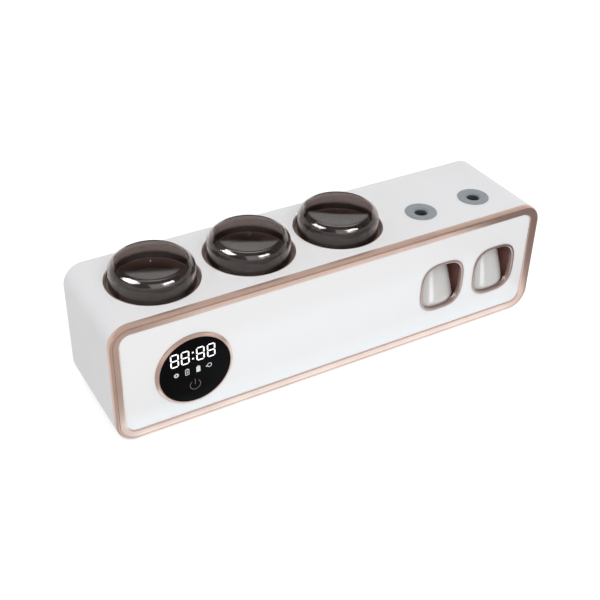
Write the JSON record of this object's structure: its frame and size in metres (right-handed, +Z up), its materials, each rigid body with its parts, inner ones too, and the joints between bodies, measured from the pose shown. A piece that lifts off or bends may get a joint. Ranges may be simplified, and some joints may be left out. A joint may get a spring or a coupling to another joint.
{
  "type": "hot stone heater",
  "caption": "Table-top heater with lidded wells for massage stones, funnel ports over windowed oil tanks and a round touch display in a framed front.",
  "frame": {"origin": "middle of the footprint, on the surface the feet stand on", "axes": "+X along the body to the right of someone facing the front, -Y out of the framed front, +Z up"},
  "size_m": [0.45, 0.1127, 0.1414],
  "materials": {
    "white_shell": "satin white moulding",
    "white_panel": "gloss white moulding",
    "rose_gold": "satin rose-gold anodised",
    "black_glass": "gloss black printed behind",
    "circuit_board": "solder mask",
    "battery_wrap": "shrink wrap",
    "black_plastic": "fine moulded texture",
    "zinc_steel": "zinc plated",
    "black_rubber": "moulded",
    "brown_plastic": "dark brown moulding",
    "opal_glass": "gloss opal white",
    "aluminium": "machined",
    "grey_silicone": "matt moulded silicone",
    "bronze_liner": "brown anodised",
    "foam": "open silicone foam",
    "basalt": "polished dark stone",
    "smoked_clear": "clear smoked brown"
  },
  "bodies": {
    "root": {"housing": "white_shell", "bottom_cover": "white_shell", "cover_screw_1": "zinc_steel", "cover_screw_2": "zinc_steel", "cover_screw_3": "zinc_steel", "cover_screw_4": "zinc_steel", "cover_screw_5": "zinc_steel", "cover_screw_6": "zinc_steel", "foot_1": "black_rubber", "foot_2": "black_rubber", "foot_3": "black_rubber", "foot_4": "black_rubber", "front_frame": "rose_gold", "front_panel": "white_panel", "display_ring": "rose_gold", "display_lens": "black_glass", "display_board": "circuit_board", "window_frame_1": "rose_gold", "tank_bay_1": "brown_plastic", "oil_tank_1": "opal_glass", "tank_cap_1": "opal_glass", "tank_heater_1": "aluminium", "port_collar_1": "grey_silicone", "window_frame_2": "rose_gold", "tank_bay_2": "brown_plastic", "oil_tank_2": "opal_glass", "tank_cap_2": "opal_glass", "tank_heater_2": "aluminium", "port_collar_2": "grey_silicone", "well_liner_1": "bronze_liner", "well_heater_1": "aluminium", "heater_pad_1": "foam", "well_liner_2": "bronze_liner", "well_heater_2": "aluminium", "heater_pad_2": "foam", "well_liner_3": "bronze_liner", "well_heater_3": "aluminium", "heater_pad_3": "foam", "battery_pack": "battery_wrap", "main_board": "circuit_board", "dc_inlet": "black_plastic"},
    "stone_1": {"stone_1": "basalt"},
    "lid_1": {"lid_1": "smoked_clear"},
    "stone_2": {"stone_2": "basalt"},
    "lid_2": {"lid_2": "smoked_clear"},
    "stone_3": {"stone_3": "basalt"},
    "lid_3": {"lid_3": "smoked_clear"}
  },
  "joints": [
    {"name": "stone_lift_1", "type": "slide", "parent": "root", "child": "stone_1", "axis": [0, 0, 1], "range_m": [0, 0.06]},
    {"name": "lid_lift_1", "type": "slide", "parent": "stone_1", "child": "lid_1", "axis": [0, 0, 1], "range_m": [0, 0.09]},
    {"name": "stone_lift_2", "type": "slide", "parent": "root", "child": "stone_2", "axis": [0, 0, 1], "range_m": [0, 0.06]},
    {"name": "lid_lift_2", "type": "slide", "parent": "stone_2", "child": "lid_2", "axis": [0, 0, 1], "range_m": [0, 0.09]},
    {"name": "stone_lift_3", "type": "slide", "parent": "root", "child": "stone_3", "axis": [0, 0, 1], "range_m": [0, 0.06]},
    {"name": "lid_lift_3", "type": "slide", "parent": "stone_3", "child": "lid_3", "axis": [0, 0, 1], "range_m": [0, 0.09]}
  ]
}
